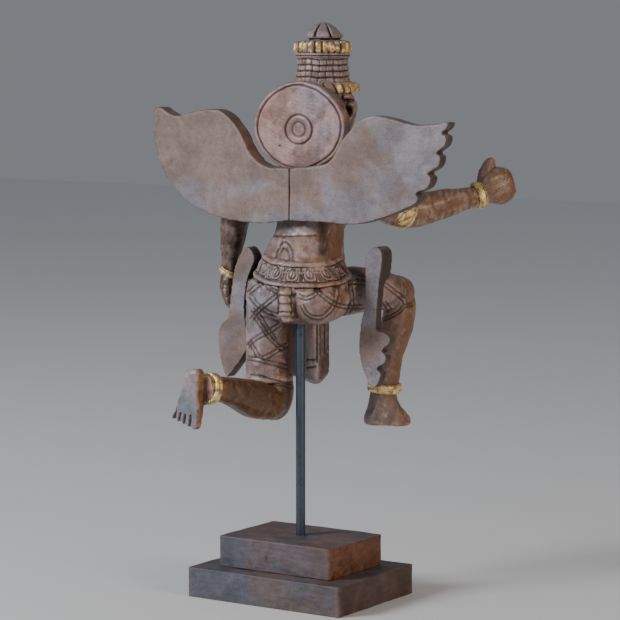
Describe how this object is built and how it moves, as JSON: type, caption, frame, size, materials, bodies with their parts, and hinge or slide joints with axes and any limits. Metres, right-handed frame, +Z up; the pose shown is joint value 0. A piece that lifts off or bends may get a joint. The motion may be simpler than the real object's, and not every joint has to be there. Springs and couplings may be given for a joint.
{
  "type": "wooden garuda statue",
  "caption": "Carved wooden winged garuda figure in a running pose, held on a steel rod above a stepped wooden base.",
  "frame": {"origin": "centre of the base's underside", "axes": "+Z up, +X towards the figure's own left along the base's long side, the figure faces -Y"},
  "size_m": [0.3748, 0.3378, 0.6103],
  "materials": {
    "carved_wood": "carved hardwood with a worn reddish-brown stain and dark grooves",
    "sawn_wood": "flat sawn board, dusty grey-brown with fine saw marks",
    "base_wood": "dark stained block with curved saw marks and worn edges",
    "rod_steel": "dark blue-grey steel rod",
    "gilt": "rubbed gold leaf with dark cracks"
  },
  "bodies": {
    "root": {"base_lower": "base_wood", "base_upper": "base_wood", "rod": "rod_steel", "figure": "carved_wood", "left_wing": "sawn_wood", "right_wing": "sawn_wood", "left_sash": "sawn_wood", "right_sash": "sawn_wood"}
  },
  "joints": []
}
